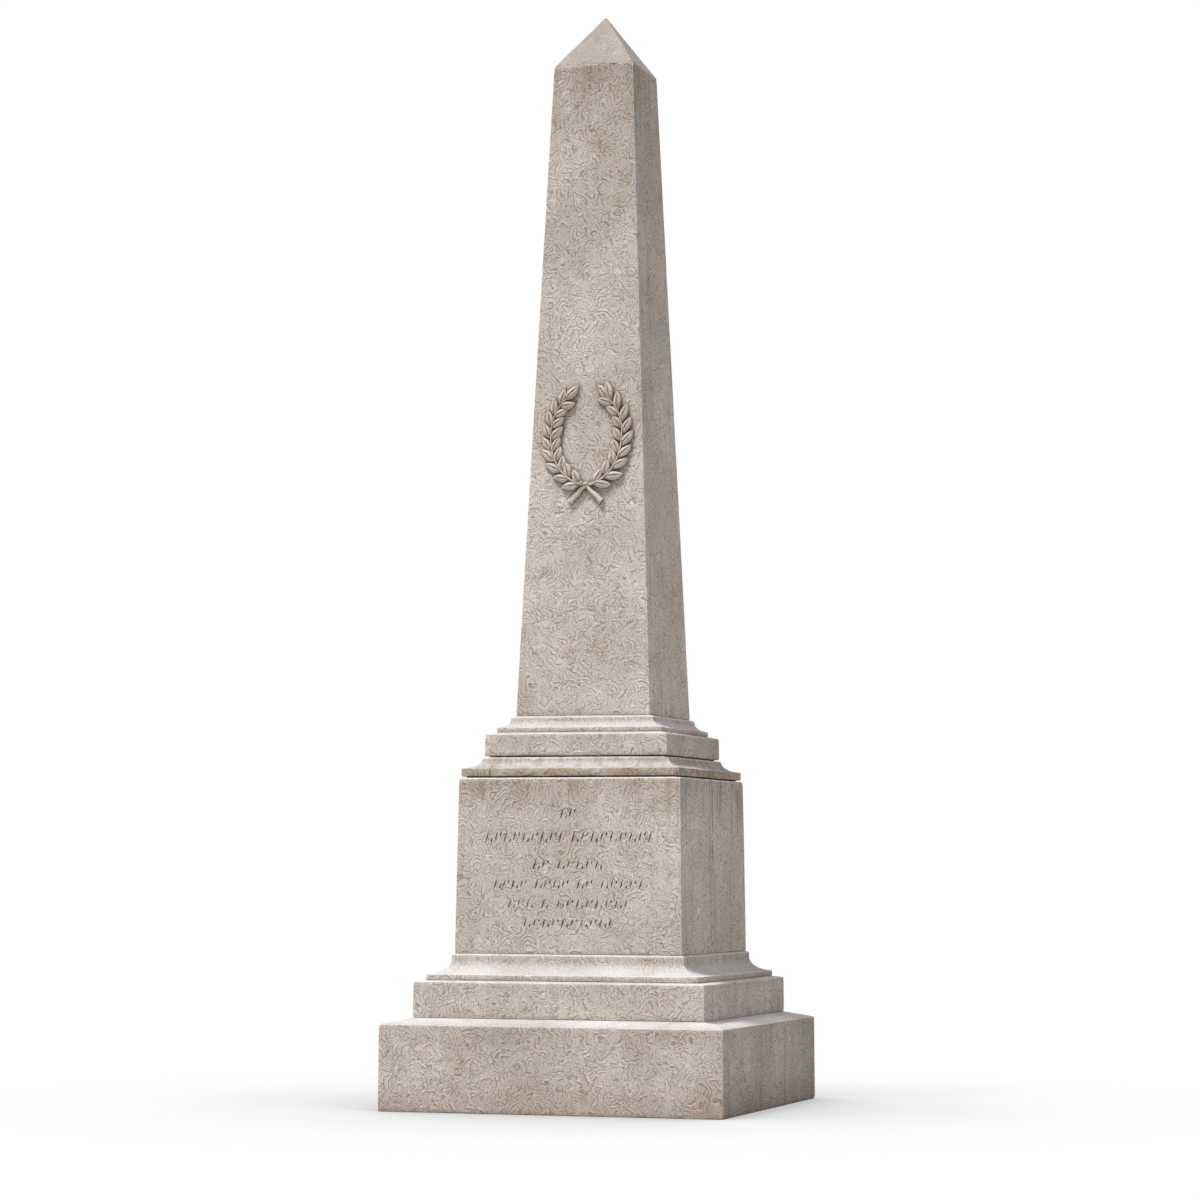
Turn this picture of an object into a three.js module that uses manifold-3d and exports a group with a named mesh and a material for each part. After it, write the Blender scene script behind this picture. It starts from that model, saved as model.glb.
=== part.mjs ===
// War memorial pillar: a tapering stone obelisk on a moulded pedestal and two steps.
// Millimetres, +Z up. The origin is the centre of the underside. The face with the
// carved wreath and the rows of cut strokes looks towards -Y.
import * as THREE from 'three';
import Module from 'manifold-3d';

const wasm = await Module();
wasm.setup();

// Driving dimensions: overall width of each square stone, and heights above the ground
const bedGap = 0.3;

const baseStep = { footWidth: 1423, topWidth: 1418, arris: 343, wash: 23.6 };
const upperStep = { footWidth: 1210, topWidth: 1208, height: 143.4, wash: 5.5 };
const baseMoulding = {
  bandWidth: 1131, bandHeight: 25, cavettoRise: 55.5, filletWidth: 973.6, filletHeight: 20, wash: 4.4,
};
const die = { footWidth: 951.6, topWidth: 929.8, height: 700, weathering: 4.8 };
const capMoulding = { bandWidth: 917, bandHeight: 34, cavettoRise: 40, topWidth: 785, weathering: 5 };
const neckPlinth = { footWidth: 770, topWidth: 767, height: 88.4, wash: 7.7 };
const shaftMoulding = {
  bandWidth: 695, bandHeight: 21.3, cavettoRise: 34, filletWidth: 604.8, filletHeight: 7.3, wash: 6,
};
const shaft = { footWidth: 570.8, topWidth: 341.6, height: 2690.7, pointHeight: 230.8, tipWidth: 5 };

// The bed joint over the die and the one over its cap are raked back, so that each
// upper stone stands on a low seat a little smaller than itself.
const rakedJoint = { height: 4.8, depth: 17 };

// Laurel wreath in relief on the front of the shaft
const wreath = {
  centreZ: 2728, halfWidth: 152, riseAbove: 178, dropBelow: 211, endAngle: 147,
  outer: { leftLeaves: 9, rightLeaves: 9, from: 0.06, to: 0.92, spread: 26, length: 77 },
  inner: { leftLeaves: 9, rightLeaves: 8, from: 0.07, to: 0.9, spread: 40, length: 71 },
  leafWidth: 36, leafRelief: 17, endLeafLength: 78, rightBranchLonger: 1.03,
  stemWidth: 10, stemRelief: 13, cutStemWidth: 25, cutStemRelief: 17, cutStemDrop: 68, cutStemReach: 68,
  berrySize: 19, budScale: 0.7, bedding: 6,
};

// Rows of cut strokes on the front of the die: foot height, stroke height, group widths
const strokeRows = [
  { foot: 1154, height: 51, groups: [73], space: 0 },
  { foot: 1059, height: 53, groups: [328, 340], space: 34 },
  { foot: 954, height: 43, groups: [75, 196], space: 28 },
  { foot: 877, height: 42, groups: [147, 150, 73, 179], space: 26 },
  { foot: 799, height: 42, groups: [114, 36, 302], space: 27 },
  { foot: 724, height: 40, groups: [376], space: 0 },
];
const stroke = { pitch: 19.5, width: 8.5, depth: 4, lean: 16, clearance: 1 };

const limestone = { color: 0xbdb1a6, roughness: 0.86, metalness: 0 };

// A closed mesh through a stack of rings with the same number of points each
function skin(rings) {
  const sides = rings[0].length;
  const positions = rings.flat().flatMap((point) => [point.x, point.y, point.z]);
  const indices = [];
  for (let level = 0; level < rings.length - 1; level += 1) {
    for (let side = 0; side < sides; side += 1) {
      const a = level * sides + side;
      const b = level * sides + ((side + 1) % sides);
      indices.push(a, b, b + sides, a, b + sides, a + sides);
    }
  }
  const last = (rings.length - 1) * sides;
  for (let side = 1; side < sides - 1; side += 1) {
    indices.push(0, side + 1, side);
    indices.push(last, last + side, last + side + 1);
  }
  const geometry = new THREE.BufferGeometry();
  geometry.setAttribute('position', new THREE.Float32BufferAttribute(positions, 3));
  geometry.setIndex(indices);
  return geometry;
}

// A square stone from its profile, a list of [width, height] from the foot up
function squareStone(profile) {
  const ring = ([width, z]) => {
    const half = width / 2;
    return [[-1, -1], [1, -1], [1, 1], [-1, 1]].map(([x, y]) => new THREE.Vector3(x * half, y * half, z));
  };
  return skin(profile.map(ring));
}

// A hollow quarter-ellipse moulding: near level at its foot, upright at its top
function cavetto(footWidth, footZ, topWidth, topZ, steps = 10) {
  const profile = [];
  for (let step = 0; step <= steps; step += 1) {
    const angle = (Math.PI / 2) * (1 - step / steps);
    const width = footWidth - (footWidth - topWidth) * Math.cos(angle);
    profile.push([width, topZ - (topZ - footZ) * Math.sin(angle)]);
  }
  return profile;
}

function toSolid(geometry) {
  return new wasm.Manifold(new wasm.Mesh({
    numProp: 3,
    vertProperties: new Float32Array(geometry.getAttribute('position').array),
    triVerts: new Uint32Array(geometry.index.array),
  }));
}

function toGeometry(solid) {
  const mesh = solid.getMesh();
  const geometry = new THREE.BufferGeometry();
  geometry.setAttribute('position', new THREE.BufferAttribute(mesh.vertProperties, 3));
  geometry.setIndex(new THREE.BufferAttribute(mesh.triVerts, 1));
  return geometry;
}

// Puts a shape drawn flat, x across, y up and z outwards, on the front of a stone
// whose foot is footWidth wide at footZ and whose top is topWidth wide at topZ.
function onFront(geometry, stone, footZ, z) {
  const lean = Math.atan2((stone.footWidth - stone.topWidth) / 2, stone.height);
  const half = stone.footWidth / 2 - (z - footZ) * Math.tan(lean);
  const turned = new THREE.Matrix4().makeRotationX(Math.PI / 2 - lean);
  return geometry.applyMatrix4(turned.setPosition(0, -half, z));
}

// Heights of the beds between the stones, from the ground up
const upperStepFoot = baseStep.arris + baseStep.wash;
const upperStepArris = upperStepFoot + upperStep.height;
const baseMouldingFoot = upperStepArris + upperStep.wash;
const cavettoFoot = baseMouldingFoot + baseMoulding.bandHeight;
const filletFoot = cavettoFoot + baseMoulding.cavettoRise;
const filletTop = filletFoot + baseMoulding.filletHeight;
const dieFoot = filletTop + baseMoulding.wash;
const dieArris = dieFoot + die.height;
const dieTop = dieArris + die.weathering;
const capFoot = dieTop + rakedJoint.height;
const capBandTop = capFoot + capMoulding.bandHeight;
const capArris = capBandTop + capMoulding.cavettoRise;
const capTop = capArris + capMoulding.weathering;
const neckFoot = capTop + rakedJoint.height;
const neckArris = neckFoot + neckPlinth.height;
const shaftMouldingFoot = neckArris + neckPlinth.wash;
const shaftBandTop = shaftMouldingFoot + shaftMoulding.bandHeight;
const shaftFilletFoot = shaftBandTop + shaftMoulding.cavettoRise;
const shaftFilletTop = shaftFilletFoot + shaftMoulding.filletHeight;
const shaftFoot = shaftFilletTop + shaftMoulding.wash;
const shaftArris = shaftFoot + shaft.height;

function buildBaseStep() {
  return squareStone([
    [baseStep.footWidth, 0],
    [baseStep.topWidth, baseStep.arris],
    [upperStep.footWidth, upperStepFoot],
  ]);
}

function buildUpperStep() {
  return squareStone([
    [upperStep.footWidth, upperStepFoot + bedGap],
    [upperStep.topWidth, upperStepArris],
    [baseMoulding.bandWidth, baseMouldingFoot],
  ]);
}

function buildBaseMoulding() {
  const { bandWidth, filletWidth } = baseMoulding;
  return squareStone([
    [bandWidth, baseMouldingFoot + bedGap],
    ...cavetto(bandWidth, cavettoFoot, filletWidth, filletFoot),
    [filletWidth, filletTop],
    [die.footWidth, dieFoot],
  ]);
}

// One tapering four-sided wedge for each stroke, its keel turned into the stone
function strokeCutter(length, x, y, turn) {
  const halfLength = length / 2;
  const halfWidth = stroke.width / 2;
  const outline = [[0, halfLength], [-halfWidth, 0], [0, -halfLength], [halfWidth, 0]];
  const top = outline.map(([px, py]) => new THREE.Vector3(px, py, stroke.clearance));
  const keel = outline.map(([px, py]) => new THREE.Vector3(px * 0.12, py * 0.7, -stroke.depth));
  return skin([keel, top]).rotateZ(turn).translate(x, y, 0);
}

// Leaning strokes of uneven height with short nicks between them, all apart
function strokesOfRow({ foot, height, groups, space }) {
  const lean = THREE.MathUtils.degToRad(-stroke.lean);
  const rowWidth = groups.reduce((sum, width) => sum + width, 0) + space * (groups.length - 1);
  const cutters = [];
  let left = -rowWidth / 2;
  for (const width of groups) {
    const count = Math.max(2, Math.round(width / stroke.pitch));
    const pitch = width / count;
    for (let index = 0; index < count; index += 1) {
      const x = left + pitch * (index + 0.5);
      const kind = index % 4;
      if (kind === 0) cutters.push(strokeCutter(height, x, height * 0.5, lean));
      if (kind === 1) cutters.push(strokeCutter(height * 0.4, x, height * 0.26, lean));
      if (kind === 2) cutters.push(strokeCutter(height * 0.78, x, height * 0.56, lean));
      if (kind === 3) cutters.push(strokeCutter(height * 0.36, x, height * 0.74, lean));
    }
    left += width + space;
  }
  return cutters.map((cutter) => onFront(cutter, die, dieFoot, foot));
}

function buildDie() {
  const seatWidth = capMoulding.bandWidth - 2 * rakedJoint.depth;
  const seatedDie = squareStone([
    [die.footWidth, dieFoot + bedGap],
    [die.topWidth, dieArris],
    [die.topWidth - 2 * die.weathering, dieTop],
    [seatWidth, dieTop],
    [seatWidth, capFoot],
  ]);
  let solid = toSolid(seatedDie);
  for (const row of strokeRows) {
    for (const cutter of strokesOfRow(row)) solid = solid.subtract(toSolid(cutter));
  }
  return toGeometry(solid);
}

function buildCapMoulding() {
  const { bandWidth, topWidth, weathering } = capMoulding;
  const seatWidth = neckPlinth.footWidth - 2 * rakedJoint.depth;
  return squareStone([
    [bandWidth, capFoot + bedGap],
    ...cavetto(bandWidth, capBandTop, topWidth, capArris),
    [topWidth - 2 * weathering, capTop],
    [seatWidth, capTop],
    [seatWidth, neckFoot],
  ]);
}

function buildNeckPlinth() {
  return squareStone([
    [neckPlinth.footWidth, neckFoot + bedGap],
    [neckPlinth.topWidth, neckArris],
    [shaftMoulding.bandWidth, shaftMouldingFoot],
  ]);
}

function buildShaftMoulding() {
  const { bandWidth, filletWidth } = shaftMoulding;
  return squareStone([
    [bandWidth, shaftMouldingFoot + bedGap],
    ...cavetto(bandWidth, shaftBandTop, filletWidth, shaftFilletFoot, 8),
    [filletWidth, shaftFilletTop],
    [shaft.footWidth, shaftFoot],
  ]);
}

// The wreath is drawn flat first: x across, y up from its centre, z out of the stone
function branchPoint(side, angle) {
  const quarter = (2 * angle) / Math.PI;
  const y = quarter < 1 ? -wreath.dropBelow * (1 - quarter ** 1.75) : -wreath.riseAbove * Math.cos(angle);
  return new THREE.Vector2(side * wreath.halfWidth * Math.sin(angle), y);
}

// The centre line of one branch from the crossing up, evenly spaced along its length
function branchLine(side, steps = 24) {
  const endAngle = THREE.MathUtils.degToRad(wreath.endAngle);
  const points = [];
  for (let step = 0; step <= steps; step += 1) {
    points.push(branchPoint(side, endAngle * (step / steps)));
  }
  return new THREE.SplineCurve(points);
}

// A pointed leaf lying on the stone: crowned either side of a sunk midrib
function leaf(length, width, relief) {
  const stations = [0.03, 0.16, 0.34, 0.54, 0.74, 0.9, 0.985];
  const rings = stations.map((along) => {
    const swell = Math.sin(Math.PI * along ** 0.82) ** 0.8;
    const half = (width / 2) * swell;
    const height = relief * (0.45 + 0.55 * Math.sin(Math.PI * along ** 0.7));
    const x = length * along;
    return [
      new THREE.Vector3(x, -half, -wreath.bedding),
      new THREE.Vector3(x, half, -wreath.bedding),
      new THREE.Vector3(x, half, height * 0.45),
      new THREE.Vector3(x, half * 0.5, height),
      new THREE.Vector3(x, 0, height * 0.68),
      new THREE.Vector3(x, -half * 0.5, height),
      new THREE.Vector3(x, -half, height * 0.45),
    ];
  });
  return skin(rings);
}

// A half-round twig through points on the stone, given with its width at each
function twig(points, widths, relief) {
  const rings = points.map((point, index) => {
    const before = points[Math.max(0, index - 1)];
    const after = points[Math.min(points.length - 1, index + 1)];
    const across = after.clone().sub(before).normalize();
    const half = widths[index] / 2;
    const section = [[-1, -1], [1, -1], [1, 0.35], [0.55, 0.9], [-0.55, 0.9], [-1, 0.35]];
    return section.map(([u, v]) => new THREE.Vector3(
      point.x - across.y * u * half,
      point.y + across.x * u * half,
      v < 0 ? -wreath.bedding : v * relief,
    ));
  });
  return skin(rings);
}

function buildBranch(side) {
  const line = branchLine(side);
  const pieces = [];
  const steps = 16;
  const linePoints = line.getSpacedPoints(steps);
  const taper = linePoints.map((_, index) => wreath.stemWidth * (1.15 - 0.5 * (index / steps)));
  pieces.push(twig(linePoints, taper, wreath.stemRelief));

  // Leaves stand off both sides of the branch, and one ends it
  const longer = side > 0 ? wreath.rightBranchLonger : 1;
  const place = (along, spread, length, width = wreath.leafWidth) => {
    const point = line.getPointAt(along);
    const heading = line.getTangentAt(along).angle() + side * THREE.MathUtils.degToRad(spread);
    const shape = leaf(length * longer, width, wreath.leafRelief);
    pieces.push(shape.rotateZ(heading).translate(point.x, point.y, 0));
  };
  for (const [row, outward] of [[wreath.outer, -1], [wreath.inner, 1]]) {
    const leaves = side < 0 ? row.leftLeaves : row.rightLeaves;
    for (let index = 0; index < leaves; index += 1) {
      const along = row.from + ((row.to - row.from) * index) / (leaves - 1);
      place(along, outward * row.spread, row.length);
    }
  }
  place(0.97, 0, wreath.endLeafLength);
  const budAt = side < 0 ? 0.42 : 0.72;
  const budWidth = wreath.leafWidth * wreath.budScale;
  place(budAt, -wreath.outer.spread, wreath.outer.length * wreath.budScale, budWidth);

  // Below the crossing the cut end of the branch runs on to the other side
  const crossing = new THREE.Vector2(0, -wreath.dropBelow);
  const end = new THREE.Vector2(-side * wreath.cutStemReach, -wreath.dropBelow - wreath.cutStemDrop);
  const start = crossing.clone().lerp(end, -0.12);
  pieces.push(twig([start, end], [wreath.stemWidth * 1.2, wreath.cutStemWidth], wreath.cutStemRelief));
  return pieces;
}

function berry(x, y) {
  const ball = new THREE.IcosahedronGeometry(wreath.berrySize / 2, 1);
  const positions = ball.getAttribute('position');
  const indexOf = new Map();
  const corners = [];
  const indices = [];
  for (let index = 0; index < positions.count; index += 1) {
    const point = new THREE.Vector3().fromBufferAttribute(positions, index);
    const key = point.toArray().map((value) => value.toFixed(3)).join(' ');
    if (!indexOf.has(key)) {
      indexOf.set(key, corners.length / 3);
      corners.push(point.x, point.y, point.z);
    }
    indices.push(indexOf.get(key));
  }
  const geometry = new THREE.BufferGeometry();
  geometry.setAttribute('position', new THREE.Float32BufferAttribute(corners, 3));
  geometry.setIndex(indices);
  return geometry.translate(x, y, wreath.stemRelief * 0.8);
}

function buildShaft() {
  const taperedShaft = squareStone([
    [shaft.footWidth, shaftFoot + bedGap],
    [shaft.topWidth, shaftArris],
    [shaft.tipWidth, shaftArris + shaft.pointHeight],
  ]);
  const carving = [
    ...buildBranch(-1),
    ...buildBranch(1),
    berry(-19, -wreath.dropBelow + 8),
    berry(3, -wreath.dropBelow + 4),
  ];
  let solid = toSolid(taperedShaft);
  for (const piece of carving) {
    solid = solid.add(toSolid(onFront(piece, shaft, shaftFoot, wreath.centreZ)));
  }
  return toGeometry(solid);
}

const stones = {
  base_step: buildBaseStep,
  upper_step: buildUpperStep,
  die_base_moulding: buildBaseMoulding,
  die: buildDie,
  die_cap_moulding: buildCapMoulding,
  neck_plinth: buildNeckPlinth,
  shaft_base_moulding: buildShaftMoulding,
  obelisk_shaft: buildShaft,
};

const memorial = new THREE.Group();
for (const [name, build] of Object.entries(stones)) {
  const mesh = new THREE.Mesh(build(), new THREE.MeshStandardMaterial(limestone));
  mesh.name = name;
  memorial.add(mesh);
}

export default memorial;
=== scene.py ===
import math

import bmesh
import bpy
from mathutils import Matrix, Vector, noise


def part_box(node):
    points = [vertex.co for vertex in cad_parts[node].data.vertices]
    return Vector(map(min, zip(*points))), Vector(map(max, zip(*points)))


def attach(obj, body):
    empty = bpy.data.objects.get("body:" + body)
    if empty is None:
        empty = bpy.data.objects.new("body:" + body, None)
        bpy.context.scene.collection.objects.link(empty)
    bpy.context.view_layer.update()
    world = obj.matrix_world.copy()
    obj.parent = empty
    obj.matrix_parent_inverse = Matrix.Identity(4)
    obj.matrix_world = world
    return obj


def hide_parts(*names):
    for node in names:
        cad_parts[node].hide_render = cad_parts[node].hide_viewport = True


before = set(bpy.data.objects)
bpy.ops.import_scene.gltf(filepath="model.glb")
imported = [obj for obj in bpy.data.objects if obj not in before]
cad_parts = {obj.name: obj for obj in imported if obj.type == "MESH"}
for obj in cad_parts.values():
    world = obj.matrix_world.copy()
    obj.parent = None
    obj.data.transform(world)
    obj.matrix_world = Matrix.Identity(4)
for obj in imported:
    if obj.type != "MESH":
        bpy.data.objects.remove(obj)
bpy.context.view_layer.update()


# Lowest step
# One square block of pale shelly limestone, sawn, rubbed smooth and worn at its arrises.
# It stands on the ground by its own weight, and its top is weathered so that rain runs off.

BODY = "root"
ARRIS_RADIUS = 0.0022
ARRIS_MARGIN = 0.002
ARRIS_PARTS = 3
CORNER_WEAR = 0.005
FLATTEST_ARRIS = math.radians(20)
STONE_STEP = 0.013
SHARPEST_SMOOTH_TURN = math.radians(38)


def rounded_profile(corners, radius=ARRIS_RADIUS, step=STONE_STEP):
    """Points (half width, height, nearness to an arris) from the foot up, with its corners rounded."""
    points = [(Vector(corners[0]), 0.0)]
    for before, corner, after in zip(corners, corners[1:], corners[2:]):
        before, corner, after = Vector(before), Vector(corner), Vector(after)
        way_in = (corner - before).normalized()
        way_out = (after - corner).normalized()
        turn = way_in.angle(way_out)
        if turn < FLATTEST_ARRIS:
            points.append((corner, 0.0))
            continue
        shorter = min((corner - before).length, (after - corner).length)
        reach = min(radius * math.tan(turn / 2) + 1e-5, 0.4 * shorter)
        start, end = corner - way_in * reach, corner + way_out * reach
        outward = way_in.cross(way_out) > 0
        for index in range(ARRIS_PARTS + 1):
            t = index / ARRIS_PARTS
            point = start * (1 - t) ** 2 + corner * 2 * t * (1 - t) + end * t ** 2
            points.append((point, 1.0 if outward else 0.0))
    points.append((Vector(corners[-1]), 0.0))
    filled = []
    for (point, edge), (following, next_edge) in zip(points, points[1:]):
        filled.append((point.x, point.y, edge))
        gap = (following - point).length
        parts = max(1, round(gap / step))
        shares = [index / parts for index in range(1, parts)]
        if gap > 4 * ARRIS_MARGIN:
            shares = [ARRIS_MARGIN / gap] + shares + [1 - ARRIS_MARGIN / gap]
        for share in shares:
            between = point.lerp(following, share)
            filled.append((between.x, between.y, 0.0))
    filled.append((points[-1][0].x, points[-1][0].y, 0.0))
    return filled


def square_ring(half, height, count, radius):
    """Points round a square with rounded corners, the same number on every level of a stone."""
    ring = []
    radius = min(radius, half * 0.45)
    straight = half - radius
    margin = min(ARRIS_MARGIN, straight * 0.1)
    places = [straight * (2 * index / count - 1) for index in range(1, count)]
    places = [-straight, margin - straight] + places + [straight - margin, straight]
    for side in range(4):
        turned = Matrix.Rotation(side * math.pi / 2, 2)
        for along in places:
            ring.append((turned @ Vector((along, -half)), 1.0 if abs(along) == straight else 0.0))
        for angle in (math.radians(30), math.radians(60)):
            corner = Vector((straight + radius * math.sin(angle), -straight - radius * math.cos(angle)))
            ring.append((turned @ corner, 1.0))
    return [(Vector((point.x, point.y, height)), edge) for point, edge in ring]


def wear(point, edge, hollow, seed):
    """How far a point of a stone stands back, in metres, from uneven rubbing and from knocks."""
    shifted = point + Vector((seed * 3.7, seed * 1.3, seed * 2.9))
    back = hollow * (0.5 + 0.5 * noise.noise(shifted * 5.0))
    if edge > 0:
        back += edge * 0.0014 * (0.5 + 0.5 * noise.noise(shifted * 22.0))
        knock = noise.noise(shifted * 31.0) - 0.34
        back += edge * 0.014 * max(0.0, knock)
        nick = noise.noise(shifted * 90.0) - 0.42
        back += edge * 0.008 * max(0.0, nick)
    return back


def dressed_stone(name, corners, radius=ARRIS_RADIUS, step=STONE_STEP, hollow=0.0008, seed=0.0):
    """A square stone from its profile, with rounded, knocked arrises and slightly uneven faces."""
    profile = rounded_profile(corners, radius, step)
    widest = max(half for half, height, edge in profile)
    count = max(6, round(2 * widest / step))
    arrises = [height for half, height, edge in profile if edge > 0]
    rings = []
    for half, height, level_edge in profile:
        nearest = min(abs(height - arris) for arris in arrises)
        ring = square_ring(half, height, count, radius + CORNER_WEAR * math.exp(-nearest / CORNER_WEAR))
        rings.append([(point, max(edge, level_edge)) for point, edge in ring])
    vertices = [point for ring in rings for point, edge in ring]
    edges = [edge for ring in rings for point, edge in ring]
    sides = len(rings[0])
    faces = []
    for level in range(len(rings) - 1):
        for side in range(sides):
            a = level * sides + side
            b = level * sides + (side + 1) % sides
            faces.append((a, b, b + sides, a + sides))
    faces.append(tuple(reversed(range(sides))))
    faces.append(tuple(range((len(rings) - 1) * sides, len(rings) * sides)))
    mesh = bpy.data.meshes.new(name)
    mesh.from_pydata(vertices, [], faces)
    mesh.update()
    normals = [Vector(vertex.normal) for vertex in mesh.vertices]
    inner = range(sides, (len(rings) - 1) * sides)
    for index in inner:
        vertex = mesh.vertices[index]
        vertex.co -= normals[index] * wear(vertex.co, edges[index], hollow, seed)
    # Nearness to an arris, which the material also uses for a painted highlight
    layer = mesh.attributes.new("arris", "FLOAT", "POINT")
    layer.data.foreach_set("value", edges)
    mesh.update()
    stone = bpy.data.objects.new(name, mesh)
    bpy.context.scene.collection.objects.link(stone)
    return stone


MIX_SHARE, MIX_FIRST, MIX_SECOND, MIXED_COLOUR = 0, 6, 7, 2


class Wire:
    """One socket of a node tree, so that its maths reads as plain arithmetic."""

    def __init__(self, tree, socket=None):
        self.tree = tree
        self.socket = socket

    def node(self, kind, settings=None, inputs=None, output=0):
        """A node of any other type, its settings first, then the values or links of its sockets."""
        made = self.tree.nodes.new(kind)
        for setting, value in (settings or {}).items():
            setattr(made, setting, value)
        for key, value in (inputs or {}).items():
            several = value if isinstance(value, list) else [value]
            for one in several:
                if isinstance(one, Wire):
                    self.tree.links.new(one.socket, made.inputs[key])
                else:
                    made.inputs[key].default_value = one
        return Wire(self.tree, made.outputs[output])

    def also(self, output):
        """Another output of the node that this wire leaves."""
        return Wire(self.tree, self.socket.node.outputs[output])

    def axis(self, number):
        """The x, y or z of a vector, as 0, 1 or 2."""
        return self.node("ShaderNodeSeparateXYZ", None, {0: self}, number)

    def maths(self, operation, *values):
        return self.node("ShaderNodeMath", {"operation": operation}, dict(enumerate(values)))

    def __add__(self, other):
        return self.maths("ADD", self, other)

    __radd__ = __add__

    def __sub__(self, other):
        return self.maths("SUBTRACT", self, other)

    def __rsub__(self, other):
        return self.maths("SUBTRACT", other, self)

    def __mul__(self, other):
        return self.maths("MULTIPLY", self, other)

    __rmul__ = __mul__

    def __truediv__(self, other):
        return self.maths("DIVIDE", self, other)

    def __abs__(self):
        return self.maths("ABSOLUTE", self)

    def above(self, low, high):
        """0 below low, 1 above high, and smooth between; the other way round where low is over high."""
        inputs = {"Value": self, "From Min": low, "From Max": high}
        return self.node("ShaderNodeMapRange", {"interpolation_type": "SMOOTHSTEP"}, inputs)

    def blend(self, colour, share):
        """This colour turned towards another by a share."""
        inputs = {MIX_SHARE: share, MIX_FIRST: self, MIX_SECOND: colour}
        return self.node("ShaderNodeMix", {"data_type": "RGBA"}, inputs, MIXED_COLOUR)

    def times(self, colour, share=1.0):
        """This colour darkened by another, in full or by a share."""
        settings = {"data_type": "RGBA", "blend_type": "MULTIPLY"}
        inputs = {MIX_SHARE: share, MIX_FIRST: self, MIX_SECOND: colour}
        return self.node("ShaderNodeMix", settings, inputs, MIXED_COLOUR)

    def scaled(self, x, y=None, z=None):
        return self.vector("MULTIPLY", (x, x if y is None else y, x if z is None else z))

    def vector(self, operation, other, output=0):
        return self.node("ShaderNodeVectorMath", {"operation": operation}, {0: self, 1: other}, output)

    def moved(self, other):
        return self.vector("ADD", other)

    def cloud(self, scale, detail=2.0, roughness=0.5, output=0):
        """Noise of a scale, as a number, or as a vector with output 1."""
        inputs = {"Vector": self, "Scale": scale, "Detail": detail, "Roughness": roughness}
        return self.node("ShaderNodeTexNoise", None, inputs, output)

    def cells(self, scale):
        """How far a point lies from the middle of its own cell, in cells."""
        return self.node("ShaderNodeTexVoronoi", None, {"Vector": self, "Scale": scale})


def colour(red, green, blue):
    return (red, green, blue, 1.0)


PALE = colour(0.655, 0.595, 0.563)
WARM = colour(0.545, 0.483, 0.436)
GREY = colour(0.50, 0.467, 0.45)
PIT_DARK = colour(0.16, 0.13, 0.105)
SHELL_SPECK = colour(0.80, 0.76, 0.71)
ARRIS_HIGHLIGHT = colour(0.80, 0.755, 0.715)

# Tints, each of which darkens the stone below it
BROWN_PATCH = colour(0.84, 0.77, 0.69)
IN_SHELL_LINES = colour(0.60, 0.51, 0.43)
IN_GRAIN = colour(0.76, 0.70, 0.64)
RUN_OF_DIRT = colour(0.66, 0.575, 0.49)
DULL_SIDE = colour(0.94, 0.935, 0.93)
SKYLIT_TOP_TINT = colour(0.875, 0.935, 1.01)
HOLLOW_SHADE_AND_DIRT = colour(0.42, 0.32, 0.24)
BED_SHADE_AND_DIRT = colour(0.34, 0.27, 0.21)
BED_REACH = (0.0042, 0.0008)
SHELTER_REACH = 0.024


def shell_lines(spot, bend, shell_scale, throw, closeness, broken, clear):
    """Growth lines of broken shells: parallel arcs, turned another way in each cell."""
    bent = spot.moved(bend)
    shell = bent.cells(shell_scale)
    turn = shell.also("Color").vector("SUBTRACT", (0.5, 0.5, 0.5)).scaled(throw)
    centre = shell.also("Position").vector("SUBTRACT", turn)
    ring = bent.vector("DISTANCE", centre, 1) * closeness
    ridge = ring.maths("SINE", ring).above(0.40, 1.0) * broken * clear
    groove = ring.maths("SINE", ring + 1.6).above(0.55, 1.0) * broken * clear
    return ridge, groove


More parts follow.
